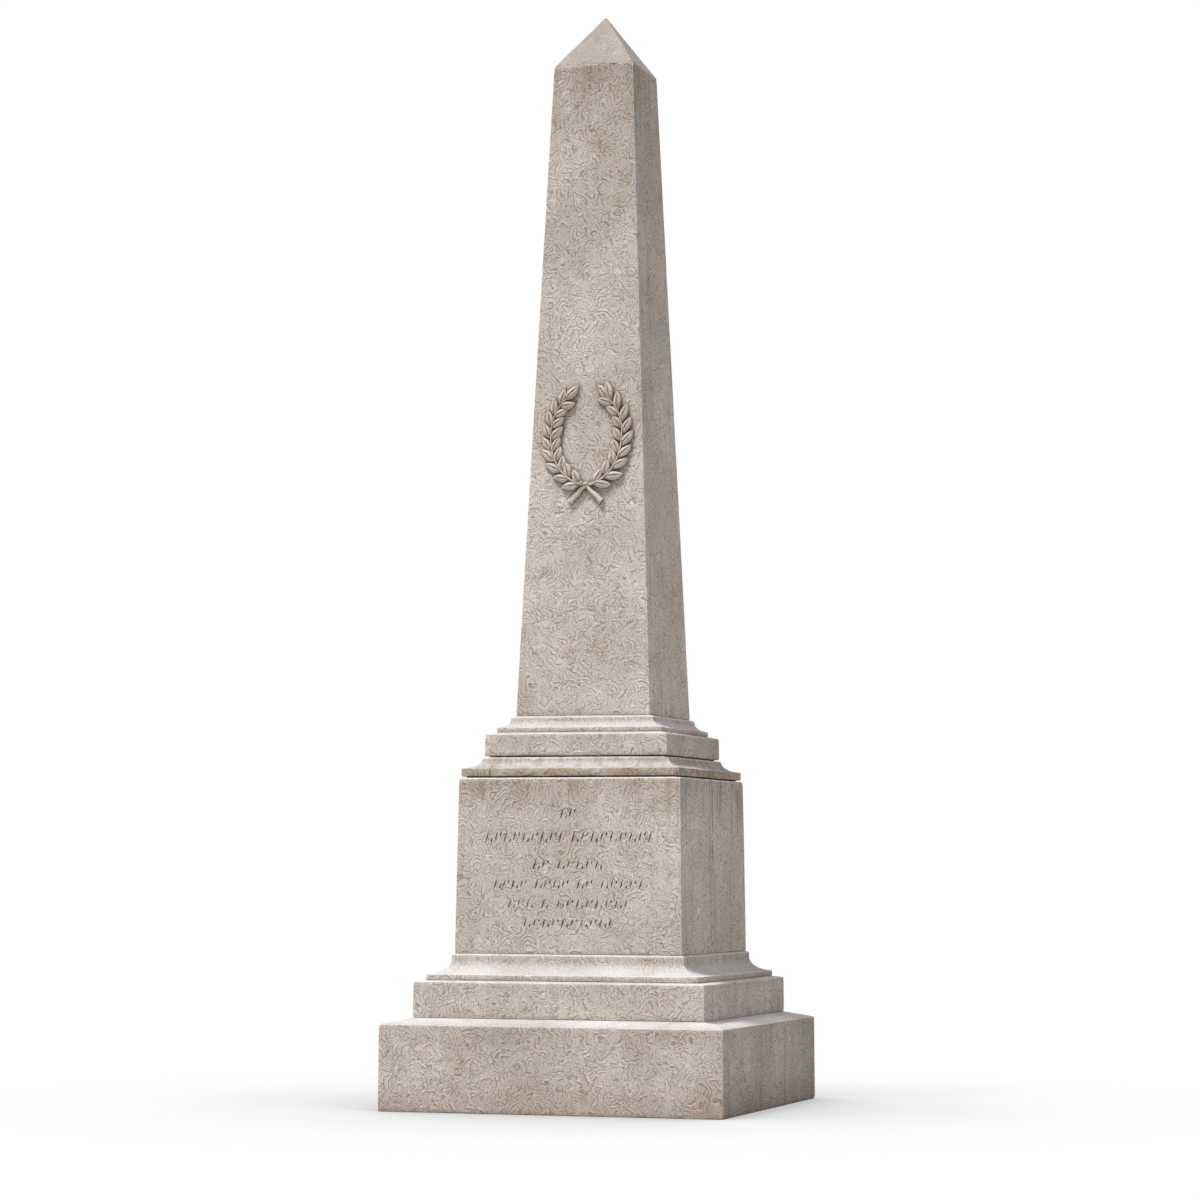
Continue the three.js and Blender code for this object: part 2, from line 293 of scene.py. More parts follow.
def limestone(name, seed, beds, stain, extra=None, hollow_shade_and_grime=0.35):
    """Shelly limestone, with painted shade and dirt at the heights of its beds and a stain (from, to,
    strength).
    """
    material = bpy.data.materials.new(name)
    material.use_nodes = True
    tree = material.node_tree
    shader = tree.nodes["Principled BSDF"]
    shader.inputs["Specular IOR Level"].default_value = 0.35
    start = Wire(tree)
    place = start.node("ShaderNodeTexCoord", output=3)
    height = place.axis(2)
    normal = start.node("ShaderNodeNewGeometry", output=1)
    upward = normal.axis(2)
    upright = abs(upward).above(0.6, 0.3)
    facing_up = upward.above(0.05, 0.6)
    arris = start.node("ShaderNodeAttribute", {"attribute_name": "arris"}, None, 2)
    spot = place.moved((seed * 5.3, seed * 2.1, seed * 7.7))

    # Large and small shells, which show less where rain has washed the stone
    clear = 1.0 - 0.65 * facing_up
    bend = spot.cloud(13.0, output=1).scaled(0.07)
    broken = spot.cloud(21.0, 2.0, 0.6).above(0.40, 0.54)
    ridge, groove = shell_lines(spot, bend, 17.0, 0.11, 400.0, broken, clear)
    small_bend = spot.moved((3.1, 8.2, 5.5)).cloud(30.0, output=1).scaled(0.035)
    small_broken = spot.moved((9.0, 1.0, 4.0)).cloud(28.0, 2.0, 0.6).above(0.40, 0.54)
    small_ridge, small_groove = shell_lines(spot, small_bend, 31.0, 0.055, 520.0, small_broken, clear)

    # Grain, flecks, clouds of paler and browner stone, open pits and pale shell specks
    grain = spot.cloud(170.0, 3.0, 0.65)
    fleck = spot.cloud(420.0, 2.0, 0.6)
    clouds = spot.cloud(2.6, 4.0, 0.55)
    patches = spot.cloud(9.0, 3.0, 0.6)
    brown = spot.moved((7.0, 3.0, 1.0)).cloud(7.0, 4.0, 0.7).above(0.52, 0.74)
    pits = spot.cells(34.0).above(0.115, 0.05) * spot.cloud(13.0, 1.0).above(0.46, 0.56)
    specks = spot.cells(75.0).above(0.14, 0.07) * spot.cloud(31.0, 1.0).above(0.5, 0.62)
    share_of_pale = {MIX_SHARE: clouds.above(0.35, 0.65), MIX_FIRST: WARM, MIX_SECOND: PALE}
    body = start.node("ShaderNodeMix", {"data_type": "RGBA"}, share_of_pale, MIXED_COLOUR)
    body = body.blend(GREY, patches.above(0.45, 0.72) * 0.45)
    body = body.times(BROWN_PATCH, brown * 0.75)
    # The shell ridges are lighter and their grooves darker, partly the shells' own colour and partly painted
    # highlight and shade on their relief
    tone = 0.72 + 0.46 * grain + 0.16 * fleck + 0.17 * ridge + 0.13 * small_ridge
    body = body.times(start.node("ShaderNodeCombineColor", None, {0: tone, 1: tone, 2: tone}))
    lines = groove.maths("MAXIMUM", groove, 0.85 * small_groove)
    body = body.times(IN_SHELL_LINES, lines * 0.85)
    body = body.times(IN_GRAIN, grain.above(0.52, 0.36) * 0.6)
    # The open pits are darkened
    body = body.blend(PIT_DARK, pits * 0.7)
    body = body.blend(SHELL_SPECK, specks * 0.5)

    # Rain carries dirt down each face in thin runs, over a broad stain below what drips on it
    stain_from, stain_to, strength = stain
    runs = place.scaled(1.0, 1.0, 0.035).moved((seed, seed, seed)).cloud(30.0, 2.0, 0.55)
    reach = height + (spot.cloud(5.0, 3.0, 0.65) - 0.5) * (stain_to - stain_from) * 1.8
    stained = reach.above(stain_from, stain_to)
    dirt = stained * (0.62 + 0.38 * runs.above(0.40, 0.66)) * upright * strength
    body = body.times(RUN_OF_DIRT, dirt)
    sides = abs(normal.axis(0)).above(0.6, 0.9) * (1.0 - facing_up)
    body = body.times(RUN_OF_DIRT, runs.above(0.54, 0.72) * upright * (0.14 + 0.34 * sides))

    # The left and right sides are duller, a painted cool skylight tint makes tops and hollows greyer, and a
    # painted highlight lightens the arrises
    body = body.times(DULL_SIDE, sides)
    # Painted cool skylight: faces turned up are tinted greyer and bluer
    body = body.times(SKYLIT_TOP_TINT, facing_up)
    # Painted highlight along the arrises and the rims of leaves and twigs
    body = body.blend(ARRIS_HIGHLIGHT, arris * 0.45)

    # Painted shade and dirt darken the hollows and the thin beds between the stones
    near = {"samples": 6, "only_local": True}
    # Painted shade: ambient occlusion browns and darkens hollows and crevices, standing for shade as well as
    # dirt
    occlusion = start.node("ShaderNodeAmbientOcclusion", near, {"Distance": SHELTER_REACH}, 1)
    body = body.times(HOLLOW_SHADE_AND_DIRT, occlusion.above(0.95, 0.45) * hollow_shade_and_grime)
    uneven = 0.55 + 0.45 * spot.cloud(12.0, 2.0, 0.6).above(0.36, 0.58)
    # Painted shade and dirt: a thin dark line on upright faces at each bed joint
    for bed in beds:
        body = body.times(BED_SHADE_AND_DIRT, abs(height - bed).above(*BED_REACH) * upright * uneven)
    if extra:
        body = extra(body, place, spot)
    tree.links.new(body.socket, shader.inputs["Base Color"])

    rough = 0.80 + 0.14 * grain - 0.08 * ridge
    tree.links.new(rough.socket, shader.inputs["Roughness"])
    relief = 0.8 * ridge - 0.9 * groove + 0.5 * small_ridge - 0.6 * small_groove
    relief = relief + 1.0 * grain + 0.4 * fleck - 1.6 * pits
    bumped = start.node("ShaderNodeBump", None, {"Strength": 0.7, "Distance": 0.0012, "Height": relief})
    tree.links.new(bumped.socket, shader.inputs["Normal"])
    return material


def finish_stone(stone, node, material):
    """Smooth shading with the arrises kept crisp, the stone's material, and its place in the frame."""
    mesh = stone.data
    mesh.polygons.foreach_set("use_smooth", [True] * len(mesh.polygons))
    mesh.set_sharp_from_angle(angle=SHARPEST_SMOOTH_TURN)
    mesh.materials.clear()
    mesh.materials.append(material)
    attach(stone, BODY)
    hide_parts(node)


def foot_of(node):
    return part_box(node)[0][2]


def top_of(node):
    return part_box(node)[1][2]


def half_of(node):
    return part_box(node)[1][0]


base_foot = foot_of("base_step")
base_top = top_of("base_step")
base_half = half_of("base_step")
upper_half = half_of("upper_step")
base_arris = base_top - 0.0236
darkening_height = 0.16
base_step = dressed_stone(
    "lowest_step",
    [
        (base_half - 0.004, base_foot),
        (base_half, base_foot + 0.006),
        (base_half - 0.0025, base_arris),
        (upper_half, base_top),
    ],
    seed=1.0,
)


def darker_foot(body, place, spot):
    """The lowest step is darker than the stones above it, and darker still towards the ground."""
    height = place.axis(2)
    towards_ground = (height + (spot.cloud(6.0, 3.0, 0.6) - 0.5) * 0.2).above(darkening_height, 0.0)
    # The lowest step is darker below its wash, and darker still near the ground
    body = body.times(colour(0.90, 0.88, 0.87), height.above(base_top - 0.010, base_top - 0.024))
    return body.times(colour(0.86, 0.82, 0.78), towards_ground)


base_stone = limestone("base_limestone", 1.0, [0.0, base_top], (0.20, 0.36, 0.25), darker_foot)
finish_stone(base_step, "base_step", base_stone)


# Upper step
# A second, smaller block of the same stone, set on the lowest step in a thin bed of mortar.
# Its top is hardly weathered, and only a narrow margin of it shows round the moulding.

upper_foot = foot_of("upper_step")
upper_top = top_of("upper_step")
band_half = half_of("die_base_moulding")
upper_step = dressed_stone(
    "upper_step_stone",
    [
        (upper_half - 0.003, upper_foot),
        (upper_half, upper_foot + 0.004),
        (upper_half - 0.001, upper_top - 0.0055),
        (band_half, upper_top),
    ],
    seed=2.0,
)
upper_stone = limestone("upper_limestone", 2.0, [upper_foot, upper_top], (0.44, 0.52, 0.3))
finish_stone(upper_step, "upper_step", upper_stone)


# Moulding under the die
# One stone worked to a flat band, a deep hollow and an upright fillet under the die.
# The hollow is near level where it leaves the band, and upright where it meets the fillet.


def hollow_curve(foot_half, foot_height, top_half, top_height, parts=12):
    """A hollow quarter-ellipse from a band up to a fillet, as profile corners."""
    curve = []
    for index in range(parts + 1):
        angle = math.pi / 2 * (1 - index / parts)
        half = foot_half - (foot_half - top_half) * math.cos(angle)
        curve.append((half, top_height - (top_height - foot_height) * math.sin(angle)))
    return curve


moulding_foot = foot_of("die_base_moulding")
moulding_top = top_of("die_base_moulding")
die_half = half_of("die")
fillet_half = 0.4868
fillet_height = 0.020
band_height = 0.0247
seat_rise = 0.0044
fillet_foot = moulding_top - seat_rise - fillet_height
base_moulding = dressed_stone(
    "moulded_base_stone",
    [
        (band_half - 0.002, moulding_foot),
        (band_half, moulding_foot + 0.003),
        *hollow_curve(band_half, moulding_foot + band_height, fillet_half, fillet_foot),
        (fillet_half, moulding_top - seat_rise),
        (die_half, moulding_top),
    ],
    radius=0.003,
    seed=3.0,
)
moulding_beds = [moulding_foot, moulding_top]
mouldings_stone = limestone("mouldings_limestone", 3.0, moulding_beds, (0.50, 0.56, 0.2))
finish_stone(base_moulding, "die_base_moulding", mouldings_stone)


# Die
# The main block of the pedestal, leaning in a little on all four sides, with a raked joint on top.
# Rows of slanting strokes are cut into its front with a chisel, and their insides are darker.

die_foot = foot_of("die")
die_top = top_of("die")
die_head_half = 0.4649
rake_height = 0.0048
rake_depth = 0.017
cap_half = half_of("die_cap_moulding")
die_arris = die_top - rake_height - 0.0048
seat_half = cap_half - rake_depth
die_stone = dressed_stone(
    "die_stone",
    [
        (die_half - 0.002, die_foot),
        (die_half, die_foot + 0.003),
        (die_head_half, die_arris),
        (die_head_half - 0.0048, die_top - rake_height),
        (seat_half, die_top - rake_height),
        (seat_half, die_top),
    ],
    seed=4.0,
)


def closed_tube(name, rings):
    """A closed mesh through rings of points that run round the way ahead."""
    sides = len(rings[0])
    faces = []
    for level in range(len(rings) - 1):
        for side in range(sides):
            a = level * sides + side
            b = level * sides + (side + 1) % sides
            faces.append((a, b, b + sides, a + sides))
    faces.append(tuple(reversed(range(sides))))
    faces.append(tuple(range((len(rings) - 1) * sides, len(rings) * sides)))
    mesh = bpy.data.meshes.new(name)
    mesh.from_pydata([point for ring in rings for point in ring], [], faces)
    mesh.update()
    tube = bpy.data.objects.new(name, mesh)
    bpy.context.scene.collection.objects.link(tube)
    return tube


def new_tree(name, sockets):
    """A node tree for a shape, with named inputs, and a wire for each of them."""
    tree = bpy.data.node_groups.new(name, "GeometryNodeTree")
    for socket_name, kind in sockets:
        tree.interface.new_socket(socket_name, in_out="INPUT", socket_type=kind)
    tree.interface.new_socket("Geometry", in_out="OUTPUT", socket_type="NodeSocketGeometry")
    entry = tree.nodes.new("NodeGroupInput")
    wires = {socket_name: Wire(tree, entry.outputs[socket_name]) for socket_name, kind in sockets}
    return tree, Wire(tree), wires


def close_tree(tree, geometry, material):
    """Ends a tree in real geometry with its material set."""
    real = geometry.node("GeometryNodeRealizeInstances", None, {"Geometry": geometry})
    coated = real.node("GeometryNodeSetMaterial", None, {"Geometry": real, "Material": material})
    tree.links.new(coated.socket, tree.nodes.new("NodeGroupOutput").inputs[0])


def grown(piece, tree, values):
    """Runs a tree on a piece with the given inputs, and keeps its result as the piece's plain mesh."""
    modifier = piece.modifiers.new(tree.name, "NODES")
    modifier.node_group = tree
    for item in tree.interface.items_tree:
        if item.in_out == "INPUT" and item.name in values:
            modifier[item.identifier] = values[item.name]
    bpy.context.view_layer.update()
    seen = piece.evaluated_get(bpy.context.evaluated_depsgraph_get())
    result = bpy.data.meshes.new_from_object(seen)
    piece.modifiers.remove(modifier)
    piece.data = result
    return piece


stroke_width = 0.0085
stroke_depth = 0.004
stroke_lean = math.radians(-16)
stroke_pitch = 0.0195
# Each kind of stroke: its share of the row's height, and where its middle stands in the row
stroke_kinds = [(1.0, 0.5), (0.4, 0.26), (0.78, 0.56), (0.36, 0.74)]
# Each row: the height of its foot, its own height, the widths of its groups, the space between them
stroke_rows = [
    (1.154, 0.051, [0.073], 0.0),
    (1.059, 0.053, [0.328, 0.340], 0.034),
    (0.954, 0.043, [0.075, 0.196], 0.028),
    (0.877, 0.042, [0.147, 0.150, 0.073, 0.179], 0.026),
    (0.799, 0.042, [0.114, 0.036, 0.302], 0.027),
    (0.724, 0.040, [0.376], 0.0),
]


def stroke_places():
    """The middle and the length of every stroke, on the die's face above its foot."""
    places = []
    for foot, tall, groups, space in stroke_rows:
        left = -(sum(groups) + space * (len(groups) - 1)) / 2
        for width in groups:
            count = max(2, round(width / stroke_pitch))
            for index in range(count):
                x = left + (index + 0.5) * width / count
                share, centre = stroke_kinds[index % len(stroke_kinds)]
                places.append((x, foot + tall * centre - die_foot, tall * share))
            left += width + space
    return places


def stroke_points():
    """One point for each stroke, which carries the stroke's length."""
    places = stroke_places()
    mesh = bpy.data.meshes.new("stroke_points")
    mesh.from_pydata([(x, y, 0) for x, y, length in places], [], [])
    layer = mesh.attributes.new("stroke_length", "FLOAT", "POINT")
    layer.data.foreach_set("value", [length for x, y, length in places])
    made = bpy.data.objects.new("stroke_points", mesh)
    bpy.context.scene.collection.objects.link(made)
    return made


def chisel_cut(stations=12):
    """A V-shaped cut one unit long, wide and deep, swelling to its middle, with some room above it."""
    rings = []
    for index in range(stations):
        along = 0.5 - 0.5 * math.cos(math.pi * (0.04 + 0.92 * index / (stations - 1)))
        swell = math.sin(math.pi * along) ** 0.45
        deep = -math.sin(math.pi * along) ** 0.6
        half = 0.5 * swell
        section = [(half, 0.25), (half, 0.0), (half * 0.42, deep * 0.55), (0.0, deep),
                   (-half * 0.42, deep * 0.55), (-half, 0.0), (-half, 0.25)]
        rings.append([Vector((across, along - 0.5, up)) for across, up in section])
    return closed_tube("chisel_cut", rings)


cut_tree, cut_start, cut_given = new_tree("cut_strokes", [
    ("Geometry", "NodeSocketGeometry"), ("Places", "NodeSocketObject"), ("Cut", "NodeSocketObject"),
    ("Width", "NodeSocketFloat"), ("Depth", "NodeSocketFloat"), ("Lean", "NodeSocketFloat"),
    ("Material", "NodeSocketMaterial"),
])
middles = {"Object": cut_given["Places"], "As Instance": False}
middles = cut_start.node("GeometryNodeObjectInfo", None, middles, "Geometry")
points = cut_start.node("GeometryNodeMeshToPoints", None, {"Mesh": middles})
cut = {"Object": cut_given["Cut"], "As Instance": False}
cut = cut_start.node("GeometryNodeObjectInfo", None, cut, "Geometry")
length = cut_start.node("GeometryNodeInputNamedAttribute", {"data_type": "FLOAT"}, {"Name": "stroke_length"})
chance = {"data_type": "FLOAT"}
hand = cut_start.node("FunctionNodeRandomValue", chance, {2: -0.03, 3: 0.03, "Seed": 5}, 1)
press = cut_start.node("FunctionNodeRandomValue", chance, {2: 0.85, 3: 1.1, "Seed": 9}, 1)
turn = cut_start.node("ShaderNodeCombineXYZ", None, {0: 0.0, 1: 0.0, 2: cut_given["Lean"] + hand})
turned = cut_start.node("FunctionNodeEulerToRotation", None, {0: turn})
size = {0: cut_given["Width"] * press, 1: length, 2: cut_given["Depth"] * press}
scale = cut_start.node("ShaderNodeCombineXYZ", None, size)
cuts = cut_start.node("GeometryNodeInstanceOnPoints", None, {
    "Points": points, "Instance": cut, "Rotation": turned, "Scale": scale,
})
die_lean = math.atan2(die_half - die_head_half, die_arris - die_foot)
on_face = cut_start.node("GeometryNodeTransform", None, {
    "Geometry": cuts,
    "Translation": (0, -die_half, die_foot),
    "Rotation": (math.pi / 2 - die_lean, 0, 0),
})
carve = {"operation": "DIFFERENCE", "solver": "MANIFOLD"}
shapes = {"Mesh 1": cut_given["Geometry"], "Mesh 2": on_face}
carved = cut_start.node("GeometryNodeMeshBoolean", carve, shapes)
close_tree(cut_tree, carved, cut_given["Material"])


CUT_DARK = colour(0.085, 0.062, 0.045)
SIDE_RUN = colour(0.48, 0.41, 0.35)
rows_foot, rows_top = 0.70, 1.22
# Each run of dirt on a side: where it is, its half width, its reach below the top, its strength
side_runs = [
    (-0.39, 0.012, 0.26, 0.7), (-0.15, 0.012, 0.20, 0.4), (-0.01, 0.011, 0.42, 1.0),
    (0.10, 0.010, 0.20, 0.4), (0.28, 0.015, 0.30, 0.7), (0.37, 0.018, 0.22, 0.9),
]


def dark_cuts_and_runs(body, place, spot):
    """Darkens the inside of the strokes, by how deep a point lies behind the front, and adds runs on the
    sides.
    """
    across, along, height = place.axis(0), place.axis(1), place.axis(2)
    front = (height - die_foot) * math.tan(die_lean) - die_half
    depth = along - front
    inside = depth.above(0.0008, 0.0022) * depth.above(0.0075, 0.0055)
    rows = height.above(rows_foot, rows_foot + 0.005) * height.above(rows_top, rows_top - 0.005)
    middle = rows * abs(across).above(die_head_half - 0.03, die_head_half - 0.04)
    patchy = 0.75 + 0.25 * spot.cloud(60.0).above(0.35, 0.6)
    # The inside of each stroke is darkened, the more the deeper it lies
    body = body.blend(CUT_DARK, inside * middle * patchy)

    # Water drips off the cap's joints and has left narrow dark runs down the two sides
    wavering = along + (spot.scaled(1.0, 1.0, 0.4).cloud(9.0) - 0.5) * 0.03
    fading = spot.cloud(22.0, 3.0, 0.6).above(0.30, 0.55)
    flank = abs(across).above(die_head_half - 0.02, die_head_half - 0.01)
    for middle_of_run, half_width, reach, strength in side_runs:
        run = abs(wavering - middle_of_run).above(half_width, half_width * 0.3)
        down = height.above(die_top - reach * 1.25, die_top - reach * 0.6)
        body = body.times(SIDE_RUN, run * down * fading * flank * strength)
    return body


die_beds = [die_foot, die_top - rake_height, die_top]
die_limestone = limestone("die_limestone", 4.0, die_beds, (1.13, 1.34, 0.8), dark_cuts_and_runs, hollow_shade_and_grime=0.75)
patterns = {"Places": stroke_points(), "Cut": chisel_cut()}
grown(die_stone, cut_tree, {
    **patterns, "Width": stroke_width, "Depth": stroke_depth, "Lean": stroke_lean, "Material": die_limestone,
})
for pattern in patterns.values():
    bpy.data.objects.remove(pattern)
finish_stone(die_stone, "die", die_limestone)


# Cap moulding
# One stone with a flat band that overhangs the joint on the die, and a hollow up to the neck.
# It lies on the die's raked bed, and carries a raked bed of its own for the neck.

cap_foot = foot_of("die_cap_moulding")
cap_top = top_of("die_cap_moulding")
cap_head_half = 0.3925
neck_half = half_of("neck_plinth")
cap_arris = cap_top - rake_height - 0.005
neck_seat_half = neck_half - rake_depth
cap_moulding = dressed_stone(
    "moulded_cap_stone",
    [
        (cap_half - 0.002, cap_foot),
        (cap_half, cap_foot + 0.003),
        *hollow_curve(cap_half, cap_foot + 0.0337, cap_head_half, cap_arris),
        (cap_head_half - 0.005, cap_top - rake_height),
        (neck_seat_half, cap_top - rake_height),
        (neck_seat_half, cap_top),
    ],
    radius=0.003,
    seed=5.0,
)


CAP_BAND_BROWN = colour(0.70, 0.62, 0.53)
CAP_STREAK = colour(0.66, 0.61, 0.56)
CRACK = colour(0.30, 0.24, 0.20)
CRACK_REACH = (0.0034, 0.0008)
front_crack_at = -0.335
side_crack_at = -0.03


def soiled_cap(body, place, spot):
    """The cap catches what runs down the shaft: its band is brown, its hollow streaked."""
    across, along, height = place.axis(0), place.axis(1), place.axis(2)
    streaks = place.moved((2.0, 5.0, 0.0)).scaled(1.0, 1.0, 0.12).cloud(26.0, 3.0, 0.6)
    patches = spot.cloud(10.0, 3.0, 0.65)
    band = height.above(cap_foot + 0.038, cap_foot + 0.030)
    body = body.times(CAP_BAND_BROWN, band * (0.45 + 0.55 * patches.above(0.36, 0.60)))
    hollow = 1.0 - band
    body = body.times(CAP_STREAK, hollow * (0.40 + 0.60 * streaks.above(0.42, 0.62)))

    # Two hair cracks run up the band, one on the front and one on the side
    waver = (spot.cloud(45.0) - 0.5) * 0.012
    low = height.above(cap_foot + 0.050, cap_foot + 0.036)
    front_crack = abs(across + waver - front_crack_at).above(*CRACK_REACH)
    side_crack = abs(along + waver - side_crack_at).above(*CRACK_REACH)
    body = body.times(CRACK, front_crack * low * abs(along).above(0.40, 0.42))
    return body.times(CRACK, side_crack * low * abs(across).above(0.40, 0.42))


cap_beds = [cap_foot, cap_top - rake_height, cap_top]
cap_limestone = limestone("cap_limestone", 5.0, cap_beds, (1.29, 1.37, 0.2), soiled_cap)
finish_stone(cap_moulding, "die_cap_moulding", cap_limestone)


# Neck plinth
# A plain square block of limestone between the cap and the moulding that the shaft stands on.
# It overhangs the raked bed on the cap, and keeps its own top nearly level.

neck_foot = foot_of("neck_plinth")
neck_top = top_of("neck_plinth")
shaft_band_half = half_of("shaft_base_moulding")
neck_plinth = dressed_stone(
    "neck_stone",
    [
        (neck_half - 0.002, neck_foot),
        (neck_half, neck_foot + 0.003),
        (neck_half - 0.0015, neck_top - 0.0077),
        (shaft_band_half, neck_top),
    ],
    seed=6.0,
)
neck_limestone = limestone("neck_limestone", 6.0, [neck_foot, neck_top], (1.44, 1.53, 0.45))
finish_stone(neck_plinth, "neck_plinth", neck_limestone)


# Moulding under the shaft
# A thinner limestone course with a flat band, a small hollow and a narrow fillet.
# It is bedded on the neck, and the shaft stands on it by its own weight.

shaft_moulding_foot = foot_of("shaft_base_moulding")
shaft_moulding_top = top_of("shaft_base_moulding")
shaft_foot_half = 0.2854
shaft_fillet_half = 0.3024
shaft_moulding = dressed_stone(
    "moulded_foot_stone",
    [
        (shaft_band_half - 0.002, shaft_moulding_foot),
        (shaft_band_half, shaft_moulding_foot + 0.002),
        *hollow_curve(
            shaft_band_half, shaft_moulding_foot + 0.021, shaft_fillet_half, shaft_moulding_top - 0.0133, 9
        ),
        (shaft_fillet_half, shaft_moulding_top - 0.006),
        (shaft_foot_half, shaft_moulding_top),
    ],
    radius=0.0025,
    step=0.012,
    seed=7.0,
)
foot_beds = [shaft_moulding_foot, shaft_moulding_top]
foot_limestone = limestone("foot_limestone", 7.0, foot_beds, (1.50, 1.56, 0.2))
finish_stone(shaft_moulding, "shaft_base_moulding", foot_limestone)


# Shaft
# One long tapering limestone that ends in a low pyramid, bedded on its moulding.
# Its front was left full enough for the wreath, which is carved from the same stone.

shaft_foot = foot_of("obelisk_shaft")
shaft_tip = top_of("obelisk_shaft")
shaft_head_half = 0.1708
point_height = 0.2308
shaft_arris = shaft_tip - point_height
shaft = dressed_stone(
    "shaft_stone",
    [
        (shaft_foot_half - 0.0015, shaft_foot),
        (shaft_foot_half, shaft_foot + 0.003),
        (shaft_head_half, shaft_arris),
        (0.004, shaft_tip),
    ],
    step=0.015,
    seed=8.0,
)
wreath_height = 2.728
shaft_lean = math.atan2(shaft_foot_half - shaft_head_half, shaft_arris - shaft_foot)
face_at_wreath = shaft_foot_half - (wreath_height - shaft_foot) * math.tan(shaft_lean)


POINT_SHADE_GREY = colour(0.66, 0.615, 0.575)
UPPER_SHAFT = colour(0.935, 0.925, 0.92)
WREATH_BROWN = colour(0.98, 0.93, 0.865)


def shaft_shade_and_tints(body, place, spot):
    """The pyramid is darkened and greyed all over, a painted shade that offsets the stronger sun on its
    sloping faces, and the wreath has kept a browner skin.
    """
    across, along, height = place.axis(0), place.axis(1), place.axis(2)
    top = height.above(shaft_arris - 0.002, shaft_arris + 0.006)
    patchy = 0.8 + 0.2 * spot.cloud(16.0, 3.0, 0.6).above(0.35, 0.65)
    # Painted shade: the pyramid's sloping faces are darkened
    body = body.times(POINT_SHADE_GREY, top * patchy)
    body = body.times(UPPER_SHAFT, height.above(2.75, 3.45) * (1.0 - top))
    face = (height - wreath_height) * math.tan(shaft_lean) - face_at_wreath
    proud = (along - face).above(-0.001, -0.006)
    low = proud * height.above(shaft_arris - 0.1, shaft_arris - 0.2)
    return body.times(WREATH_BROWN, low * abs(across).above(0.21, 0.20))


shaft_stain = (3.85, 4.35, 0.75)
shaft_limestone = limestone(
    "shaft_limestone", 8.0, [shaft_foot], shaft_stain, shaft_shade_and_tints, hollow_shade_and_grime=0.95
)


# Wreath
# Two laurel branches, crossed and open at the top, carved on the shaft's front from the same stone.
# The carver drew each branch as one bow, and set its leaves along it at even steps.

wreath_half_width = 0.152
wreath_rise = 0.178
wreath_drop = 0.211
branch_end = math.radians(147)
leaf_bedding = 0.5
twig_relief = 0.017
twig_bedding = 0.006
cut_stem_reach = 0.068
cut_stem_drop = 0.068
cut_stem_relief = 0.018
crossing_height = 0.008 - wreath_drop


def branch_points(side, parts=64):
    """The middle line of one branch, from the crossing up, flat on the stone's face."""
    points = []
    for index in range(parts + 1):
        angle = branch_end * index / parts
        quarter = 2 * angle / math.pi
        y = -wreath_drop * (1 - quarter ** 1.75) if quarter < 1 else -wreath_rise * math.cos(angle)
        points.append(Vector((side * wreath_half_width * math.sin(angle), y, 0)))
    return points


def with_rim_highlight(shape, values):
    """Marks how strongly each point of a shape takes the painted edge highlight, for the same number of
    points in every ring.
    """
    count = len(shape.data.vertices)
    layer = shape.data.attributes.new("arris", "FLOAT", "POINT")
    layer.data.foreach_set("value", (values * (count // len(values) + 1))[:count])
    return shape


def laurel_leaf(stations=22):
    """A leaf one unit long, wide and high: a rolled rim, two full halves and a sunk midrib."""
    # Each point across the leaf: its place across, its height, and how much painted rim highlight it takes
    section = [
        (-1.0, -leaf_bedding, 0.0), (1.0, -leaf_bedding, 0.0), (1.0, 0.10, 0.0), (0.97, 0.42, 0.3),
        (0.84, 0.68, 0.9), (0.60, 0.88, 0.8), (0.32, 0.99, 0.3), (0.13, 0.97, 0.0), (0.0, 0.94, 0.0),
        (-0.13, 0.97, 0.0), (-0.32, 0.99, 0.3), (-0.60, 0.88, 0.8), (-0.84, 0.68, 0.9), (-0.97, 0.42, 0.3),
        (-1.0, 0.10, 0.0),
    ]
    rings = []
    for index in range(stations):
        along = 0.015 + 0.98 * index / (stations - 1)
        middle = math.sin(math.pi * along)
        half = 0.5 * math.sin(math.pi * along ** 0.86) ** 0.70
        rise = 0.45 + 0.55 * math.sin(math.pi * along ** 0.85)
        bend = 0.035 * math.sin(2 * math.pi * along)
        ring = []
        for across, up, highlit in section:
            sunk = 0.22 * middle * max(0.0, 1 - abs(across) / 0.3)
            high = up if up < 0 else (up - sunk) * rise
            ring.append(Vector((along, bend + across * half, high)))
        rings.append(ring)
    return with_rim_highlight(closed_tube("laurel_leaf", rings), [highlit for across, up, highlit in section])


def twig(name, points, widths, relief, groove=0.0, round_parts=10):
    """A twig along points on the stone, rounded over, with a strip of bark cut out of it if asked."""
    rings = []
    for index, point in enumerate(points):
        ahead = points[min(index + 1, len(points) - 1)] - points[max(index - 1, 0)]
        ahead.normalize()
        sideways = Vector((-ahead.y, ahead.x, 0))
        half = widths[index] / 2
        under = Vector((0, 0, -twig_bedding))
        ring = [point - sideways * half + under, point + sideways * half + under]
        for step in range(round_parts + 1):
            angle = math.pi * step / round_parts
            cut = 1 - groove * math.exp(-((angle - 1.9) / 0.30) ** 2)
            over = Vector((0, 0, relief * math.sin(angle) ** 0.8 * cut + 0.0005))
            ring.append(point + sideways * half * math.cos(angle) * cut + over)
        rings.append(ring)
    highlit = [0.9 * math.sin(math.pi * step / round_parts) for step in range(round_parts + 1)]
    return with_rim_highlight(closed_tube(name, rings), [0.0, 0.0] + highlit)


def branch_twig(side):
    """The twig of a branch, thinner towards its end."""
    points = branch_points(side, 40)
    widths = [0.013 - 0.005 * index / 40 for index in range(41)]
    return twig("branch_twig", points, widths, twig_relief)


